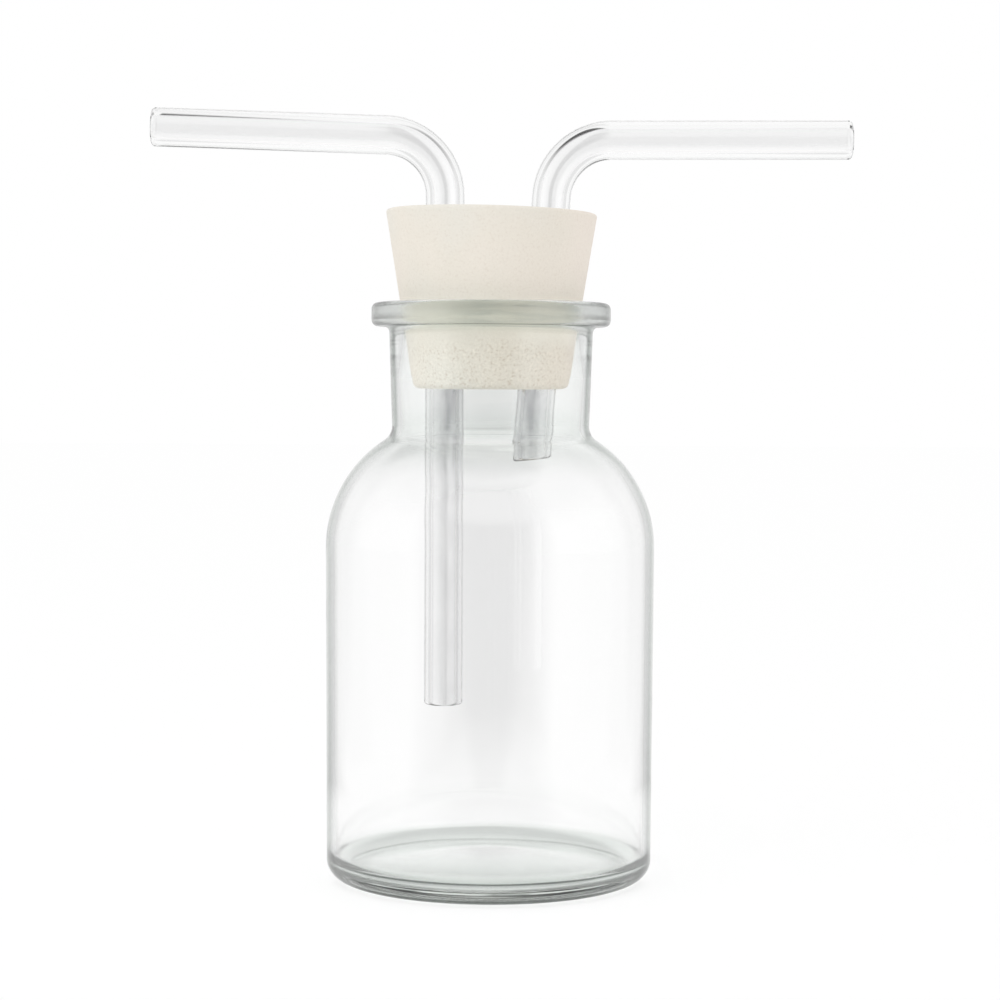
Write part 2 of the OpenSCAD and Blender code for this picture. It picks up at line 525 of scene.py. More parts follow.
def mesh_object(name: str, points: Array, faces: list[tuple[int, ...]], uvs: Array | None = None) -> Piece:
    """Makes a smooth mesh object from points in millimetres.

    Args:
        name: The object's name.
        points: One row for each vertex.
        faces: The vertices of each face, seen anticlockwise from outside.
        uvs: One row for each corner of each face, or None.

    Returns:
        The object, linked to the scene.
    """
    mesh = bpy.data.meshes.new(name)
    mesh.from_pydata((points * MM).tolist(), [], faces)
    if uvs is not None:
        layer = mesh.uv_layers.new(name=ALONG)
        layer.data.foreach_set("uv", uvs.astype(np.float32).ravel())
    mesh.polygons.foreach_set("use_smooth", [True] * len(mesh.polygons))
    mesh.update()
    piece = bpy.data.objects.new(name, mesh)
    bpy.context.scene.collection.objects.link(piece)
    return piece


def lathe(
    name: str, outline: list[Pair], around: int, push: Callable[[Array, Array], Array] | None = None
) -> Piece:
    """Turns an outline that starts and ends on the axis into a closed mesh.

    Args:
        name: The object's name.
        outline: Radius and height of each point, anticlockwise in the half plane.
        around: How many steps the turn has.
        push: A function of the rows and the angles that says how far each point
            moves out of the surface, or None.

    Returns:
        The object.
    """
    rows = np.array(outline[1:-1])
    angles = np.arange(around) * 2 * math.pi / around
    moved = np.repeat(rows[:, None, :], around, axis=1)
    if push is not None:
        run = np.gradient(rows, axis=0)
        outward = np.stack([run[:, 1], -run[:, 0]], axis=1)
        outward /= np.linalg.norm(outward, axis=1)[:, None]
        moved = moved + push(rows, angles)[:, :, None] * outward[:, None, :]
    radius, height = moved[:, :, 0], moved[:, :, 1]
    points = np.stack([radius * np.cos(angles), radius * np.sin(angles), height], axis=2).reshape(-1, 3)
    points = np.vstack([points, [0, 0, outline[0][1]], [0, 0, outline[-1][1]]])
    first, last = len(points) - 2, len(points) - 1
    top = (len(rows) - 1) * around
    faces: list[tuple[int, ...]] = []
    for j in range(around):
        k = (j + 1) % around
        faces.append((first, k, j))
        faces += [(i + j, i + k, i + around + k, i + around + j) for i in range(0, top, around)]
        faces.append((top + j, top + k, last))
    return mesh_object(name, points, faces)


def paint(piece: Piece, mark: Mark, values: Array, around: int) -> None:
    """Stores a mark on a lathed mesh.

    Args:
        piece: The lathed object.
        mark: The mark.
        values: A value for each point of the outline, its two ends included, or
            a row of values round the turn for each.
        around: How many steps the turn has.
    """
    full = values if values.ndim == 2 else np.repeat(values[:, None], around, axis=1)
    spread = np.concatenate([full[1:-1].ravel(), full[[0, -1], 0]])
    layer = piece.data.attributes.new(mark.value, "FLOAT", "POINT")
    layer.data.foreach_set("value", spread.astype(np.float32))


def ease(value: Array, start: float, end: float) -> Array:
    """Goes smoothly from 0 at start to 1 at end, which may be the lower of the two."""
    share = np.clip((value - start) / (end - start), 0, 1)
    return share * share * (3 - 2 * share)


def dress(piece: Piece, material: Material, body: str) -> Piece:
    """Gives a piece its finish, and puts it on its body in place of the body's CAD node.

    Args:
        piece: The piece.
        material: Its finish.
        body: The body, whose node has the same name.

    Returns:
        The piece.
    """
    piece.data.materials.append(material)
    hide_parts(body)
    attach(piece, body)
    return piece


@dataclass(frozen=True)
class HeelShadeLine:
    """A dark line of painted shade round the heel, where the curve turns the light away.

    Its angles are in degrees, with 0 at -Y and 90 at +X.
    """

    height: float
    half_height: float
    middle: float
    half_turn: float
    dark: float
    fade: float = 12.0
    soft: float = 0.5

    def shade(self, heights: Array, angles: Array) -> Array:
        """Gives the line's darkness at some heights and angles.

        Args:
            heights: The heights of the points, in millimetres.
            angles: The angles round the axis from +X, in radians.

        Returns:
            A row for each height, from 0 off the line to its darkest on it.
        """
        off = np.abs((np.degrees(angles) + 90 - self.middle + 180) % 360 - 180)
        along = ease(off, self.half_turn + self.fade, self.half_turn)
        outer, inner = (1 + self.soft) * self.half_height, (1 - self.soft) * self.half_height
        return self.dark * ease(np.abs(heights - self.height), outer, inner)[:, None] * along[None, :]


@dataclass
class Bottle:
    """The blown bottle: pushed-up base, body, shoulder, neck and rim."""

    body: str = "bottle"
    around: int = 224
    step: float = 1.5
    fine_turn: float = 1.5
    shoulder_turn: float = 3.0
    draft: float = 0.3
    wall: float = 1.8
    heel: float = 4.0
    heel_top: float = 1.3
    heel_rows: int = 12
    base: float = 2.9
    floor_round: float = 3.4
    floor_rise: float = 2.6
    punt: float = 1.6
    bearing: float = 0.5
    shoulder: float = 26.4
    hollow: float = 3.5
    inner_hollow: float = 5.6
    neck: float = 20.5
    flare: float = 0.65
    neck_wall: float = 2.0
    mouth: float = 18.85
    seat: float = 4.2
    step_run: float = 11.1
    step_rows: int = 16
    step_bend: float = 14.0
    finish_wall: float = 2.2
    rim_out: float = 3.65
    rim_height: float = 4.8
    rim_round: float = 1.3
    lip: float = 0.7
    taper: float = 9.0
    dome_steps: int = 48
    # The slow waves inside, and the bands of height over which they come in.
    seed: int = 4
    waves: int = 14
    wave_turns: tuple[int, int] = (1, 7)
    wave_length: Pair = (7.0, 24.0)
    wave_slope: float = 0.6
    body_wave: float = 0.03
    body_band: Pair = (4.0, 12.0)
    shoulder_wave: float = 0.14
    shoulder_band: Pair = (12.0, 4.0)
    # How strongly each zone shows its tint, and how far the zones reach.
    floor_tint: float = 0.42
    heel_tint: float = 0.08
    heel_tint_radius: Pair = (18.0, 28.0)
    heel_tint_height: Pair = (6.0, 4.0)
    rim_tint: float = 0.25
    rim_band: float = 2.0
    neck_tint: float = 0.12
    neck_band: float = 8.0
    root_drop: float = 3.0
    root_band: Pair = (8.0, 2.0)
    # How strongly the painted edge shade shows on the neck and on the rim.
    neck_edge_shade: float = 1.3
    neck_edge_shade_band: float = 2.0
    rim_edge_shade: float = 2.0
    blend: float = 0.5
    floor_skin: float = 0.6
    floor_skin_band: float = 4.0
    foot_skin_in: Pair = (6.0, 3.0)
    foot_skin_out: float = 1.5
    # Painted shade lines round the heel, where its curve turns the light away.
    lines: tuple[HeelShadeLine, ...] = (
        HeelShadeLine(height=0.75, half_height=0.5, middle=0, half_turn=75, dark=0.94),
        HeelShadeLine(height=2.3, half_height=0.12, middle=36, half_turn=24, dark=0.75),
        HeelShadeLine(height=2.65, half_height=0.16, middle=-32, half_turn=6, dark=0.9, fade=4),
        HeelShadeLine(height=2.65, half_height=0.14, middle=-49, half_turn=6, dark=0.85, fade=4),
        HeelShadeLine(height=1.2, half_height=0.12, middle=-42, half_turn=9, dark=0.75, fade=6),
        HeelShadeLine(height=2.6, half_height=0.18, middle=7, half_turn=5, dark=0.8, fade=5),
        HeelShadeLine(height=4.4, half_height=0.3, middle=-5, half_turn=30, dark=0.22, fade=30),
        HeelShadeLine(height=6.2, half_height=1.0, middle=0, half_turn=35, dark=0.18, fade=35),
    )
    finish: BlownGlass = field(default_factory=BlownGlass)

    def __post_init__(self) -> None:
        """Takes the height and the radius from the frame, and works out the levels."""
        low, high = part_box(self.body)
        self.height = (high.z - low.z) / MM
        self.radius = (high.x - low.x) / 2 / MM
        self.heel_x = self.radius - self.draft
        self.foot_x = self.heel_x - self.heel
        self.seat_z = self.height - self.seat
        self.rim_z = self.height - self.rim_height
        self.neck_z = self.rim_z - self.neck
        self.neck_top = self.mouth + self.finish_wall
        self.neck_root = self.neck_top - self.flare
        self.shoulder_x = self.radius - self.shoulder
        self.shoulder_z = self.neck_z - self.centre_rise(self.shoulder, self.hollow, self.neck_root)

    def centre_rise(self, arc: float, hollow: float, neck: float) -> float:
        """Gives the height between the shoulder arc's centre and the hollow's."""
        return math.sqrt((arc + hollow) ** 2 - (neck + hollow - self.shoulder_x) ** 2)

    def hollow_angle(self, arc: float, hollow: float, neck: float) -> float:
        """Gives the angle at which the shoulder arc meets the hollow, in degrees."""
        return math.degrees(math.acos((neck + hollow - self.shoulder_x) / (arc + hollow)))

    def taper_radius(self, z: float) -> float:
        """Gives the radius of the mouth's tapered seat at a height."""
        return self.mouth + (z - self.height) * math.tan(math.radians(self.taper))

    def section(self) -> list[Pair]:
        """Draws the half section, from the axis under the base to the axis inside.

        Returns:
            Radius and height of each point.
        """
        outline = Outline([(0, self.punt)], self.step)
        outline.points += self.dome(self.foot_x - self.bearing, 0, self.punt)[1:]
        outline.line((self.foot_x, 0))
        outline.arc((self.foot_x, self.heel), self.heel, -90, 0, self.fine_turn)
        # Close rows here carry the faint line above the heel.
        rise = self.heel_top / self.heel_rows
        outline.points += [(self.heel_x, self.heel + rise * i) for i in range(1, self.heel_rows + 1)]
        outline.line((self.radius, self.shoulder_z))
        tilt = self.hollow_angle(self.shoulder, self.hollow, self.neck_root)
        outline.arc((self.shoulder_x, self.shoulder_z), self.shoulder, 0, tilt, self.shoulder_turn)
        outline.arc((self.neck_root + self.hollow, self.neck_z), self.hollow, 180 + tilt, 180)
        fillet_z = self.rim_z - self.rim_round
        outline.line((self.neck_top, fillet_z))
        outline.arc((self.neck_top + self.rim_round, fillet_z), self.rim_round, 180, 90)
        edge_x = self.neck_top + self.rim_out - self.rim_round
        outline.arc((edge_x, self.rim_z + self.rim_round), self.rim_round, -90, 0)
        outline.arc((edge_x, self.height - self.rim_round), self.rim_round, 0, 90)
        lip_z = self.height - self.lip
        lip_x = self.taper_radius(lip_z) + self.lip / math.cos(math.radians(self.taper))
        outline.arc((lip_x, lip_z), self.lip, 90, 180 - self.taper)
        self.outer_points = len(outline.points)
        self.draw_inside(outline)
        return outline.points

    def draw_inside(self, outline: Outline) -> None:
        """Goes on down the inside: seat, neck, shoulder, wall and floor.

        Args:
            outline: The outline, drawn as far as the lip.
        """
        root = self.neck_root - self.neck_wall
        hollow = self.inner_hollow
        shoulder = self.shoulder - self.wall
        neck_z = self.shoulder_z + self.centre_rise(shoulder, hollow, root)
        tilt = self.hollow_angle(shoulder, hollow, root)
        outline.line((self.taper_radius(self.seat_z), self.seat_z))
        self.soft_step(outline, (self.neck_top - self.neck_wall, self.seat_z - self.step_run))
        outline.line((root, neck_z))
        outline.arc((root + hollow, neck_z), hollow, 180, 180 + tilt)
        outline.arc((self.shoulder_x, self.shoulder_z), shoulder, tilt, 0, self.shoulder_turn)
        floor_x = self.heel_x - self.wall - self.floor_round
        outline.arc((floor_x, self.base + self.floor_round), self.floor_round, 0, -90)
        outline.points += self.dome(floor_x, self.base, self.floor_rise)[-2::-1]

    def dome(self, edge_x: float, low: float, rise: float) -> list[Pair]:
        """Lists a soft dome's points, from its middle to its edge."""
        shares = [i / self.dome_steps for i in range(self.dome_steps + 1)]
        return [(edge_x * t, low + rise * (1 + math.cos(math.pi * t)) / 2) for t in shares]

    def soft_step(self, outline: Outline, end: Pair) -> None:
        """Draws the step under the seat as the soft curve that the hot glass takes.

        Args:
            outline: The outline, drawn as far as the seat's foot.
            end: Where the step ends on the neck.
        """
        x, z = outline.points[-1]
        for i in range(1, self.step_rows + 1):
            share = i / self.step_rows
            bend = share - math.sin(2 * math.pi * share) / self.step_bend
            outline.points.append((x + (end[0] - x) * bend, z + (end[1] - z) * share))

    def ripple(self, rows: Array, angles: Array) -> Array:
        """Gives the inside the slow waves that blowing leaves, most on the shoulder.

        Args:
            rows: Radius and height of each row.
            angles: The angles of the points in a row.

        Returns:
            How far each point moves out of the surface, in millimetres.
        """
        dice = np.random.default_rng(self.seed)
        radius, height = rows[:, :1], rows[:, 1:]
        waves = np.zeros((len(rows), len(angles)))
        for _ in range(self.waves):
            turns = dice.integers(*self.wave_turns)
            length = dice.uniform(*self.wave_length)
            phase, lag = dice.uniform(0, 2 * math.pi, 2)
            way = (height - self.wave_slope * radius) * 2 * math.pi / length
            waves += np.sin(turns * angles + phase) * np.sin(way + lag) / self.waves
        near, far = self.body_band
        body = ease(height, self.base + near, self.base + far)
        body = body * ease(height, self.neck_z + far, self.neck_z)
        under, over = self.shoulder_band
        shoulder = ease(height, self.shoulder_z, self.shoulder_z + under)
        shoulder = shoulder * ease(height, self.neck_z + over, self.neck_z)
        inside = (np.arange(len(rows)) >= self.outer_points)[:, None]
        return waves * inside * (self.body_wave * body + self.shoulder_wave * shoulder)

    def marks(self, rows: Array) -> dict[Mark, Array]:
        """Tells the zones of the glass apart, for its finish.

        Args:
            rows: Radius and height of each point of the outline.

        Returns:
            For each mark, a value for each point, or a row of values round the turn.
        """
        radius, height = rows.T
        outer = np.arange(len(rows)) < self.outer_points
        pressed = ease(height, self.rim_z - self.rim_band, self.rim_z)
        # The painted edge shade shows most on the neck and least on the rim.
        neck = ease(height, self.neck_z - self.neck_band, self.neck_z + self.neck_edge_shade_band)
        rim = ease(height, self.rim_z - self.blend, self.rim_z + self.blend)
        edge = 1.0 + self.neck_edge_shade * neck - self.rim_edge_shade * rim
        # The rim, the neck's root and the heel are thicker than the walls.
        heel = self.floor_tint + self.heel_tint * ease(radius, *self.heel_tint_radius)
        heel = heel * ease(height, *self.heel_tint_height)
        neck = ease(height, self.neck_z - self.neck_band, self.neck_z)
        root = ease(np.abs(height - self.neck_z + self.root_drop), *self.root_band)
        thick = np.maximum(self.rim_tint * pressed, heel) + self.neck_tint * (neck + root)
        # The mould's chill leaves a skin on the inner floor and in a ring under the foot.
        floor_top = self.base + self.floor_round
        floor = ~outer * ease(height, floor_top + self.floor_skin_band, floor_top)
        far, near = self.foot_skin_in
        ring = ease(radius, self.foot_x - far, self.foot_x - near)
        ring = ring * ease(radius, self.foot_x + self.foot_skin_out, self.foot_x)
        skin = np.maximum(self.floor_skin * floor, outer * ring * (height < self.heel))
        return {
            Mark.OUTSIDE: outer * edge,
            Mark.THICKNESS: thick,
            Mark.PRESSED: pressed,
            Mark.CHILLED: skin,
            Mark.SEATED: ~outer * ease(height, self.seat_z - self.blend, self.seat_z + self.blend),
            Mark.HEEL_SHADE_LINES: self.heel_shade(height, outer & (radius > self.foot_x)),
        }

    def heel_shade(self, height: Array, shown: Array) -> Array:
        """Draws the heel's lines of painted shade, as a row round the turn for each point of the outline.
        """
        angles = np.arange(self.around) * 2 * math.pi / self.around
        return shown[:, None] * np.max([line.shade(height, angles) for line in self.lines], axis=0)

    def build(self) -> Piece:
        """Makes and dresses the bottle.

        Returns:
            The bottle.
        """
        section = self.section()
        piece = lathe("bottle_glass", section, self.around, self.ripple)
        for mark, values in self.marks(np.array(section)).items():
            paint(piece, mark, values, self.around)
        return dress(piece, self.finish.build(), self.body)


@dataclass
class BentTube:
    """A glass tube, straight up through the stopper and bent over to its arm."""

    name: str
    body: str
    joint: str
    heading: int
    rise: float
    reach: float
    arm: float
    riser: float = 2.8
    diameter: float = 8.0
    wall: float = 1.5
    bend: float = 12.5
    cut: float = 0.0
    cut_run: float = 3.0
    around: int = 96
    spacing: float = 2.0
    least: float = 0.5
    bend_rows: int = 60
    lip_rows: int = 17
    finish: DrawnTubing = field(default_factory=DrawnTubing)

    def __post_init__(self) -> None:
        """Reads the axis that the tube turns on, and works out how its centre line runs."""
        found = next(j for j in frame["joints"] if j["name"] == self.joint)
        self.pivot = Vector(found["pos_m"])
        self.axis = Vector(found["axis"]).normalized()
        self.lean = math.degrees(math.asin(self.heading * self.axis.x))
        self.turn = 90 - self.lean - self.rise

    def centre(self, s: Array) -> tuple[Array, Array, Array]:
        """Follows the centre line in the tube's own plane.

        Args:
            s: Distances along the tube from where the bend starts.

        Returns:
            How far out and how high each point is, and the angle from upright
            there, in radians.
        """
        turn = math.radians(self.turn)
        angle = np.clip(s / self.bend, 0, turn)
        beyond = np.clip(s - self.bend * turn, 0, None)
        out = self.bend * (1 - np.cos(angle)) + beyond * math.sin(turn)
        high = self.bend * np.sin(angle) + beyond * math.cos(turn) + np.clip(s, None, 0)
        return out, high, angle

    def stations(self) -> Array:
        """Goes once round the tube's wall, down its whole length and back.

        Returns:
            A row for each station, with the distance along and the radius.
        """
        outer, lip = self.diameter / 2, self.wall / 2
        start = -(self.riser + self.reach)
        bent = self.bend * math.radians(self.turn)
        end = bent + self.arm
        straight = [start + lip, *np.arange(start + lip + self.spacing, -self.least, self.spacing), 0.0]
        curve = np.linspace(0, bent, self.bend_rows)[1:]
        arm = [*np.arange(bent + self.spacing, end - lip - self.least, self.spacing), end - lip]
        along = [*straight, *curve, *arm]
        half = np.radians(np.linspace(90, -90, self.lip_rows))[1:-1]
        far = [(end - lip + lip * math.cos(a), outer - lip + lip * math.sin(a)) for a in half]
        near = [(start + lip - lip * math.cos(a), outer - lip - lip * math.sin(a)) for a in half]
        inside = [(s, outer - self.wall) for s in along[::-1]]
        return np.array([(s, outer) for s in along] + far + inside + near)

    def points(self, stations: Array) -> Array:
        """Places the tube's points in the frame, a ring at each station.

        Args:
            stations: The distance along and the radius of each ring.

        Returns:
            One row for each point, in millimetres.
        """
        s, radius = stations.T
        along, high, angle = (row[:, None] for row in self.centre(s))
        turn = np.arange(self.around) * 2 * math.pi / self.around
        out = radius[:, None] * np.cos(turn)
        skewed = ease(s, s.min() + self.cut_run, s.min())[:, None]
        x = along - out * np.cos(angle)
        y = radius[:, None] * np.sin(turn)
        z = high + out * np.sin(angle) - out * math.tan(math.radians(self.cut)) * skewed + self.riser
        cos, sin = math.cos(math.radians(self.lean)), math.sin(math.radians(self.lean))
        leaning = np.stack([self.heading * (x * cos + z * sin), y, z * cos - x * sin], axis=2)
        return leaning.reshape(-1, 3) + np.array(self.pivot) / MM

    def build(self) -> Piece:
        """Makes and dresses the tube.

        Returns:
            The tube.
        """
        stations = self.stations()
        rows, around = len(stations), self.around
        faces, uvs = [], []
        for i in range(rows):
            m = (i + 1) % rows
            for j in range(around):
                k = (j + 1) % around
                quad = (i * around + j, i * around + k, m * around + k, m * around + j)
                corners = [(j, i), (j + 1, i), (j + 1, m), (j, m)]
                if self.heading > 0:
                    quad, corners = quad[::-1], corners[::-1]
                faces.append(quad)
                uvs += [(a / around, stations[b, 0] * MM) for a, b in corners]
        piece = mesh_object(self.name, self.points(stations), faces, np.array(uvs))
        return dress(piece, self.finish.build(), self.body)


@dataclass
class Stopper:
    """The tapered rubber stopper with its two holes."""

    tubes: list[BentTube]
    body: str = "stopper"
    around: int = 192
    taper: float = 9.0
    low_round: float = 1.4
    top_round: float = 0.6
    slant: float = 0.93
    slant_ease: int = 3
    hole: float = 4.04
    hole_around: int = 96
    hole_over: float = 2.0
    mouth_out: float = 0.35
    mouth_deep: float = 0.7
    mouth_rows: int = 7
    weld: float = 0.001
    finish: MouldedRubber = field(default_factory=MouldedRubber)

    def __post_init__(self) -> None:
        """Takes the radius and the levels from the frame."""
        low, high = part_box(self.body)
        self.radius = (high.x - low.x) / 2 / MM
        self.bottom, self.top = low.z / MM, high.z / MM

    def build(self) -> Piece:
        """Makes and dresses the stopper.

        Returns:
            The stopper.
        """
        slope = math.tan(math.radians(self.taper))
        cos = math.cos(math.radians(self.taper))
        edge_x, edge_z = self.radius - self.top_round, self.top - self.top_round
        low_z = self.bottom + self.low_round
        low_x = edge_x + self.top_round / cos - (edge_z - low_z) * slope - self.low_round / cos
        outline = Outline([(0, self.bottom)])
        outline.arc((low_x, low_z), self.low_round, -90, -self.taper)
        outline.arc((edge_x, edge_z), self.top_round, -self.taper, 90)
        outline.line((0, self.top))
        piece = lathe("rubber_stopper", outline.points, self.around)
        for tube in self.tubes:
            self.drill(piece, tube)
        self.lean_top(piece)
        return dress(piece, self.finish.build(), self.body)

    def drill(self, piece: Piece, tube: BentTube) -> None:
        """Cuts one hole through the stopper, with a small round at each mouth.

        Args:
            piece: The stopper.
            tube: The tube that goes in it.
        """
        start, end = self.bottom - tube.pivot.z / MM, self.top - tube.pivot.z / MM
        quarter = np.linspace(0, math.pi / 2, self.mouth_rows)
        wide = self.hole + self.mouth_out
        flare = [
            (self.hole + self.mouth_out * (1 - math.sin(a)), self.mouth_deep * (1 - math.cos(a)))
            for a in quarter[1:]
        ]
        outline = [(0, start - self.hole_over), (wide, start - self.hole_over), (wide, start)]
        outline += [(radius, start + deep) for radius, deep in flare]
        outline += [(radius, end - deep) for radius, deep in flare[::-1]]
        outline += [(wide, end), (wide, end + self.hole_over), (0, end + self.hole_over)]
        cutter = lathe("cutter", outline, self.hole_around)
        cutter.location = tube.pivot
        cutter.rotation_euler = Vector((0, 0, 1)).rotation_difference(tube.axis).to_euler()
        cut = piece.modifiers.new("hole", "BOOLEAN")
        cut.operation = "DIFFERENCE"
        cut.solver = "EXACT"
        cut.object = cutter
        bpy.context.view_layer.update()
        evaluated = piece.evaluated_get(bpy.context.evaluated_depsgraph_get())
        piece.data = bpy.data.meshes.new_from_object(evaluated)
        shell = bmesh.new()
        shell.from_mesh(piece.data)
        bmesh.ops.remove_doubles(shell, verts=shell.verts, dist=self.weld * MM)
        shell.to_mesh(piece.data)
        shell.free()
        piece.modifiers.clear()
        bpy.data.objects.remove(cutter)

    def lean_top(self, piece: Piece) -> None:
        """Lowers the stopper's top towards +X, as its end was cut a little askew.

        Args:
            piece: The stopper.
        """
        points = np.empty(len(piece.data.vertices) * 3, dtype=np.float32)
        piece.data.vertices.foreach_get("co", points)
        points = points.reshape(-1, 3)
        reach = np.abs(points[:, 0]).max()
        share = np.clip((points[:, 2] / MM - self.bottom) / (self.top - self.bottom), 0, 1)
        drop = self.slant * MM * share**self.slant_ease
        points[:, 2] -= drop * (points[:, 0] + reach) / (2 * reach)
        piece.data.vertices.foreach_set("co", points.ravel())
        piece.data.update()


# ------------------------------------------------------------------- studio


@dataclass
class GlassView:
    """The studio as the glass shows it, in the nodes of the floor or the world.

    The tree is that of the floor or the world, and towards is the direction from
    the object, of length 1.
    """

    tree: Tree
    towards: Source

    def __post_init__(self) -> None:
        """Picks out the rays from the glass that haven't met a matte surface on their way."""
        tree = self.tree
        self.path = add_node(tree, "LightPath").outputs
        kinds = (self.path["Is Glossy Ray"], self.path["Is Transmission Ray"])
        glass = add_node(tree, "Math", kinds, operation="MAXIMUM")
        direct = add_node(tree, "Math", (self.path["Diffuse Depth"], 0.5), operation="LESS_THAN")
        self.seen = add_node(tree, "Math", (glass, direct), operation="MULTIPLY")

    def or_camera(self) -> Node:
        """Gives 1 for the rays that leave the glass and for those of the camera itself."""
        rays = (self.path["Is Camera Ray"], self.seen)
        return add_node(self.tree, "Math", rays, operation="MAXIMUM")

    def level(self, flags: tuple["Flag", ...]) -> Node:
        """Works out how bright the studio is in a direction.

        Args:
            flags: The studio's panels.

        Returns:
            A node that is 1 for all rays but those from the glass, which see
            the panels.
        """
        level: Any = 1.0
        for flag in flags:
            level = add_node(self.tree, "Math", (level, flag.add(self)), operation="MULTIPLY")
        unseen = add_node(self.tree, "Math", (1.0, self.seen), operation="SUBTRACT")
        return add_node(self.tree, "Math", (unseen, level), operation="MAXIMUM")


@dataclass(frozen=True)
class Flag:
    """An upright panel of the studio, darker or brighter, that only the glass shows.

    Its angles are in degrees. Azimuth 0 is +Y and 90 is +X, and its edges fade
    over the same angle all round. One that is mirrored_only doesn't show
    straight through the glass.
    """

    azimuth: float
    half_width: float
    fade: float
    level: float
    elevation: float = 0.0
    half_height: float = 40.0
    mirrored_only: bool = False

    def add(self, view: GlassView) -> Node:
        """Adds the panel's nodes.

        Args:
            view: The view that shows the panel.

        Returns:
            A node that is the panel's level on it, and 1 off it.
        """
        tree = view.tree
        azimuth, elevation = math.radians(self.azimuth), math.radians(self.elevation)
        flat = add_node(tree, "VectorMath", (view.towards, (1, 1, 0)), operation="MULTIPLY")
        way = add_node(tree, "VectorMath", (flat,), operation="NORMALIZE")
        middle = (math.sin(azimuth), math.cos(azimuth), 0)
        beside = add_node(tree, "VectorMath", (way, middle), operation="DOT_PRODUCT")
        height = add_node(tree, "SeparateXYZ", (view.towards,)).outputs["Z"]
        above = add_node(tree, "Math", (height, math.sin(elevation)), operation="SUBTRACT")
        off = add_node(tree, "Math", (above,), operation="ABSOLUTE")
        side, top = math.radians(self.half_width), math.radians(self.half_height)
        fade = math.radians(self.fade)
        over = min(math.pi / 2, top + fade)
        ranges = (
            (beside, math.cos(side + fade), math.cos(side)),
            (off, math.sin(over), math.sin(top)),
        )
        share: Any = 1.0
        for node, start, end in ranges:
            inside = add_node(tree, "MapRange", (node, start, end), interpolation_type="SMOOTHSTEP")
            share = add_node(tree, "Math", (share, inside), operation="MULTIPLY")
        if self.mirrored_only:
            turned = (view.path["Glossy Depth"], 0.5)
            turned = add_node(tree, "Math", turned, operation="GREATER_THAN")
            share = add_node(tree, "Math", (share, turned), operation="MULTIPLY")
        return add_node(tree, "Math", (share, self.level - 1, 1.0), operation="MULTIPLY_ADD")


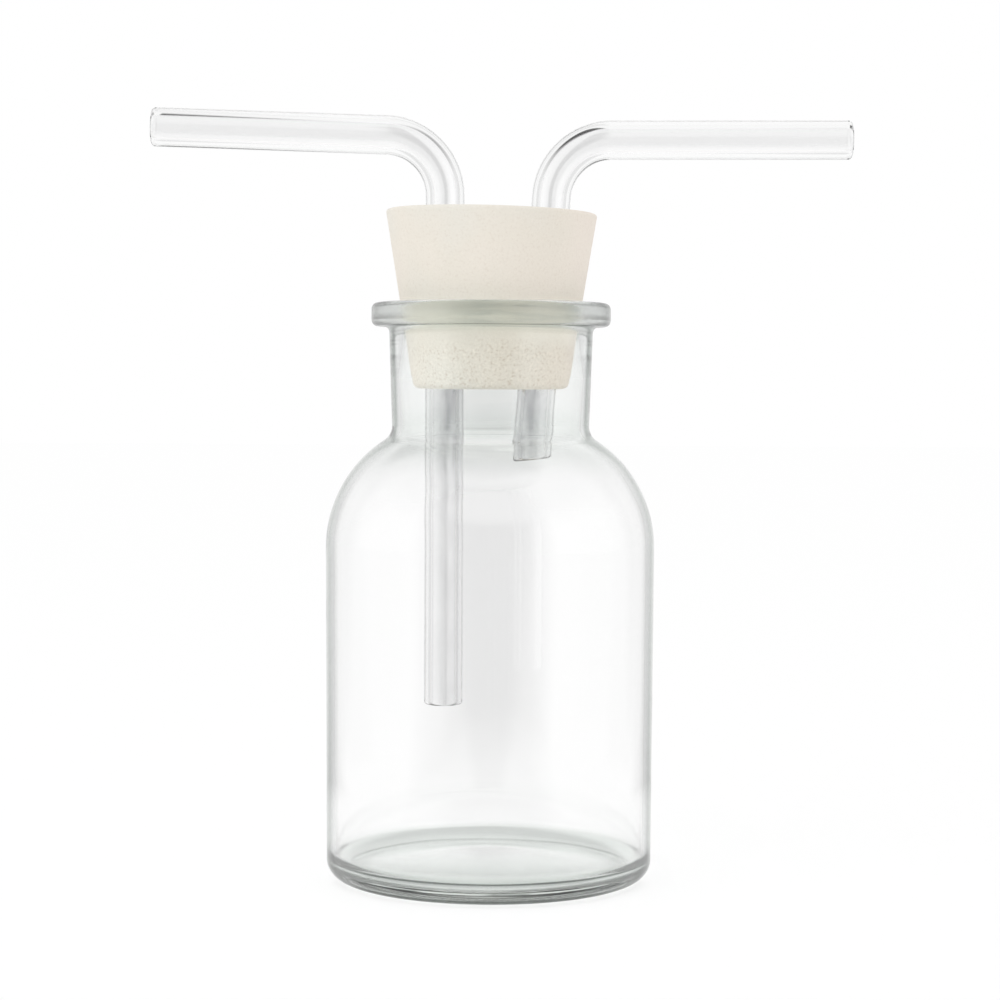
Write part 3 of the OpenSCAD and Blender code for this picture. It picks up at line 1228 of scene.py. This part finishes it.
@dataclass
class Studio:
    """White surroundings, a soft lamp, a pale floor and the camera."""

    light: Pair = (0.88, 1.1)
    brightest: Triple = (-0.35, -0.45, 0.82)
    light_through_glass: float = 1.32
    flags: tuple[Flag, ...] = (
        Flag(azimuth=186, half_width=8, fade=47, level=0.0, half_height=55, mirrored_only=True),
        Flag(azimuth=186, half_width=140, fade=35, level=0.5, elevation=90, half_height=12),
        Flag(azimuth=50, half_width=12, fade=15, level=0.8, half_height=50),
        Flag(azimuth=-50, half_width=12, fade=15, level=0.8, half_height=50),
        Flag(azimuth=108, half_width=25, fade=25, level=1.14),
        Flag(azimuth=264, half_width=20, fade=20, level=1.14),
        Flag(azimuth=-30, half_width=14, fade=8, level=0.1, elevation=60, half_height=12),
        Flag(azimuth=0, half_width=0.8, fade=1.8, level=0.95),
        Flag(azimuth=0, half_width=0.8, fade=2.0, level=0.88, elevation=10, half_height=8),
    )
    paper: str = "#F7F7F7"
    paper_glow: float = 0.75
    floor_size: float = 8000.0
    floor_gap: float = 0.2
    bright_floor: Pair = (100.0, 250.0)
    # A painted shadow ring on the floor under the bottle's foot, which only the glass shows.
    ring_middle: Pair = (-1.0, 4.0)
    ring_squeeze: Pair = (1.08, 0.88)
    ring_inner: Pair = (20.0, 33.0)
    ring_outer: Pair = (36.0, 33.0)
    ring_shadow_depth: float = 0.24
    lamp_at: Triple = (-0.7, -0.6, 0.9)
    lamp_towards: Triple = (0.0, 0.0, 0.1)
    lamp_size: float = 0.8
    lamp_power: float = 1.0
    lens: float = 90.0
    sensor: float = 36.0
    camera_at: Triple = (0.0, -517.56, 101.4)
    pitch_down: float = 2.55
    roll: float = 0.28
    shift: float = 0.00972
    bounces: int = 32
    glossy_bounces: int = 16

    def build(self) -> None:
        """Makes the studio."""
        self.light_world()
        self.lay_floor()
        self.hang_lamp()
        self.set_camera()
        scene = bpy.context.scene
        scene.view_settings.view_transform = "Standard"
        scene.cycles.max_bounces = self.bounces
        scene.cycles.transmission_bounces = self.bounces
        scene.cycles.glossy_bounces = self.glossy_bounces
        scene.cycles.blur_glossy = 0.0

    def light_world(self) -> None:
        """Gives the world an even light, and a white that camera and glass see."""
        world = bpy.data.worlds.new("studio")
        bpy.context.scene.world = world
        world.use_nodes = True
        tree = world.node_tree
        tree.nodes.clear()
        place = add_node(tree, "TexCoord").outputs["Generated"]
        view = GlassView(tree, place)
        backdrop = add_node(tree, "Background", (linear(WHITE), view.level(self.flags)))
        slope = add_node(tree, "VectorMath", (place, self.brightest), operation="DOT_PRODUCT")
        level = add_node(tree, "MapRange", (slope, -1.0, 1.0, *self.light))
        through = (view.path["Is Transmission Ray"], self.light_through_glass - 1, 1.0)
        lift = add_node(tree, "Math", through, operation="MULTIPLY_ADD")
        strength = add_node(tree, "Math", (level, lift), operation="MULTIPLY")
        light = add_node(tree, "Background", (linear(WHITE), strength))
        mix = add_node(tree, "MixShader", (view.or_camera(), light, backdrop))
        add_node(tree, "OutputWorld", {"Surface": mix})

    def lay_floor(self) -> None:
        """Lays the pale floor, which keeps the shadow."""
        bpy.ops.mesh.primitive_plane_add(size=self.floor_size * MM, location=(0, 0, -self.floor_gap * MM))
        floor = bpy.context.object
        floor.name = "floor"
        material = new_material("floor_white_card")
        tree = material.node_tree
        place = add_node(tree, "NewGeometry").outputs["Position"]
        view = GlassView(tree, add_node(tree, "VectorMath", (place,), operation="NORMALIZE"))
        paper = add_node(tree, "BsdfDiffuse", {"Color": linear(self.paper)})
        white = add_node(tree, "Emission", {"Strength": 1.0})
        glow = add_node(tree, "Math", (view.or_camera(), self.paper_glow), operation="MULTIPLY")
        card = add_node(tree, "MixShader", (glow, paper, white))
        black = add_node(tree, "Emission", {"Strength": 0.0})
        away = add_node(tree, "VectorMath", (place,), operation="LENGTH")
        start, end = self.bright_floor
        distances = (away, start * MM, end * MM, 1.0, 0.0)
        near = add_node(tree, "MapRange", distances, interpolation_type="SMOOTHSTEP")
        level = add_node(tree, "Math", (near, view.level(self.flags)), operation="MAXIMUM")
        lit = add_node(tree, "MixShader", (self.painted_foot_shadow(view, place, level), black, card))
        add_node(tree, "OutputMaterial", {"Surface": lit})
        material.cycles.emission_sampling = "NONE"
        floor.data.materials.append(material)

    def painted_foot_shadow(self, view: GlassView, place: Source, level: Source) -> Node:
        """Darkens the floor under the bottle's foot in a ring of painted shadow, which only the rays from
        the glass see, as its base shows it.

        Args:
            view: The floor's view.
            place: The point on the floor.
            level: The floor's level without the ring.

        Returns:
            The floor's level.
        """
        tree = view.tree
        middle = (self.ring_middle[0] * MM, self.ring_middle[1] * MM, 0)
        moved = add_node(tree, "VectorMath", (place, middle), operation="SUBTRACT")
        squeeze = (*self.ring_squeeze, 1)
        squeezed = add_node(tree, "VectorMath", (moved, squeeze), operation="MULTIPLY")
        away = add_node(tree, "VectorMath", (squeezed,), operation="LENGTH")
        ring = view.seen
        for start, end in (self.ring_inner, self.ring_outer):
            sides = (away, start * MM, end * MM)
            inside = add_node(tree, "MapRange", sides, interpolation_type="SMOOTHSTEP")
            ring = add_node(tree, "Math", (ring, inside), operation="MULTIPLY")
        left = add_node(tree, "Math", (ring, -self.ring_shadow_depth, 1.0), operation="MULTIPLY_ADD")
        return add_node(tree, "Math", (left, level), operation="MULTIPLY")

    def hang_lamp(self) -> None:
        """Hangs the soft lamp, which the glass doesn't show."""
        data = bpy.data.lights.new("key_lamp", "AREA")
        data.shape = "SQUARE"
        data.size = self.lamp_size
        data.energy = self.lamp_power
        lamp = bpy.data.objects.new("key_lamp", data)
        lamp.location = self.lamp_at
        lamp.visible_glossy = False
        lamp.visible_transmission = False
        back = Vector(self.lamp_at) - Vector(self.lamp_towards)
        lamp.rotation_euler = back.to_track_quat("Z", "Y").to_euler()
        bpy.context.scene.collection.objects.link(lamp)

    def set_camera(self) -> None:
        """Sets the camera before the bottle, a little above it and looking down."""
        data = bpy.data.cameras.new("camera")
        data.lens = self.lens
        data.sensor_width = self.sensor
        data.shift_x = self.shift
        camera = bpy.data.objects.new("camera", data)
        camera.location = Vector(self.camera_at) * MM
        tilt = Euler((math.radians(90 - self.pitch_down), 0, 0)).to_matrix()
        roll = Euler((0, 0, math.radians(self.roll))).to_matrix()
        camera.rotation_euler = (tilt @ roll).to_euler()
        bpy.context.scene.collection.objects.link(camera)
        bpy.context.scene.camera = camera


def main() -> None:
    """Builds the studio and every piece, in order."""
    logging.basicConfig(level=logging.INFO, format="%(name)s: %(message)s")
    Studio().build()
    stopper_low, stopper_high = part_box("stopper")
    through = (stopper_high.z - stopper_low.z) / MM
    inlet = BentTube(
        "inlet_tube_glass", "inlet_tube", "inlet_swivel", -1, rise=1.7, reach=through + 65.3, arm=48.3
    )
    outlet = BentTube(
        "outlet_tube_glass", "outlet_tube", "outlet_swivel", 1, rise=0.3, reach=through + 14.3, arm=49.4,
        cut=10.0,
    )
    for part in (Bottle(), Stopper([inlet, outlet]), inlet, outlet):
        piece = part.build()
        log.info("%s: %d faces, rides on %s", piece.name, len(piece.data.polygons), part.body)


if __name__ == "__main__":
    main()
